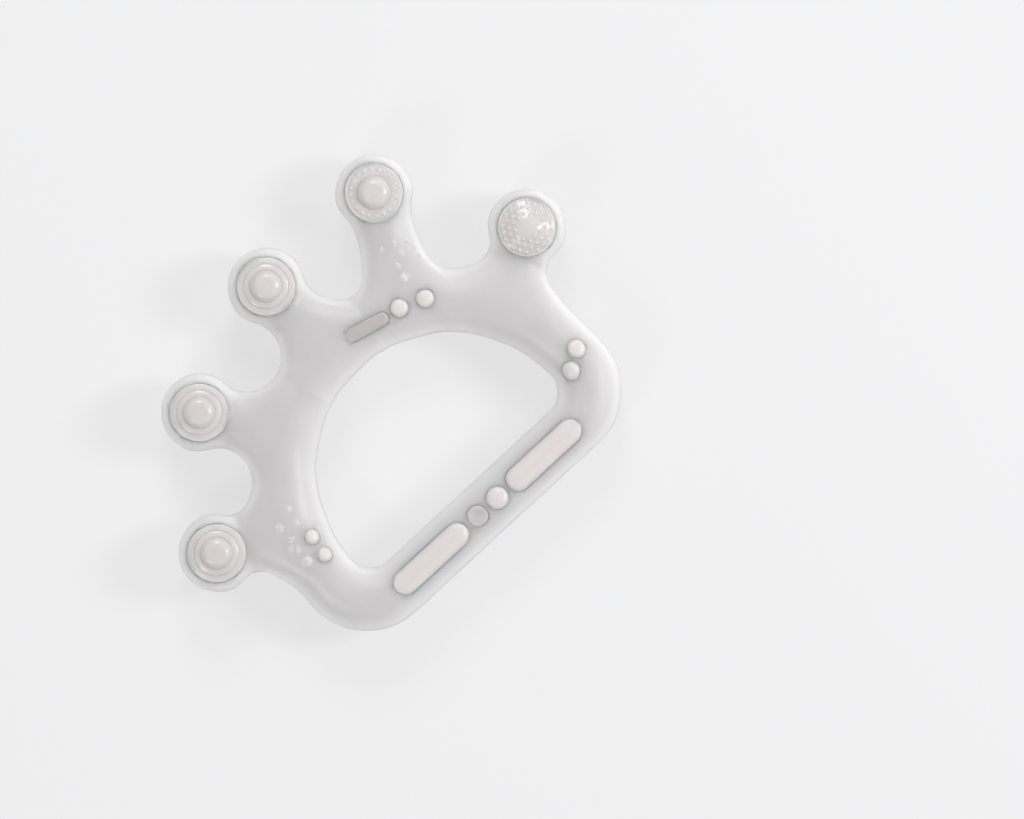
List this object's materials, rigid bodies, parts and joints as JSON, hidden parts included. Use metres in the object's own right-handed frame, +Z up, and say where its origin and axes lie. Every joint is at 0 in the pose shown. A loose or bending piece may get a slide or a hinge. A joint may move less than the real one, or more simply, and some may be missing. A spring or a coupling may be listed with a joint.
{
  "type": "teething ring",
  "caption": "Translucent D-shaped cooling teether with a grip bar, a round-topped hand hole and knobbed fingers fanned like a crown, with raised gum pads.",
  "frame": {"origin": "centre of the bounding box on the surface the ring lies on, under its back knob pads", "axes": "+X along the grip bar towards the last finger, +Y from the grip bar to the fingers, +Z up through the thickness, out of the front face"},
  "size_m": [0.1, 0.0724, 0.0149],
  "materials": {
    "silicone": "frosted translucent silicone, satin",
    "pad": "whiter soft silicone, glossy",
    "gel": "clear cooling gel with small air bubbles",
    "plug": "grey-white silicone, satin"
  },
  "bodies": {
    "root": {"front_shell": "silicone", "back_shell": "silicone", "cooling_gel": "gel", "filling_plug": "plug", "front_knob_pad_1": "pad", "front_knob_pad_2": "pad", "front_knob_pad_3": "pad", "front_knob_pad_4": "pad", "front_knob_pad_5": "pad", "back_knob_pad_1": "pad", "back_knob_pad_2": "pad", "back_knob_pad_3": "pad", "back_knob_pad_4": "pad", "back_knob_pad_5": "pad", "front_grip_bar_left": "pad", "front_grip_bar_right": "pad", "back_grip_bar_left": "pad", "back_grip_bar_right": "pad", "centre_dot": "pad", "left_dot_1": "pad", "left_dot_2": "pad", "right_dot_1": "pad", "right_dot_2": "pad", "top_dot_1": "pad", "top_dot_2": "pad", "top_rib": "silicone"}
  },
  "joints": []
}
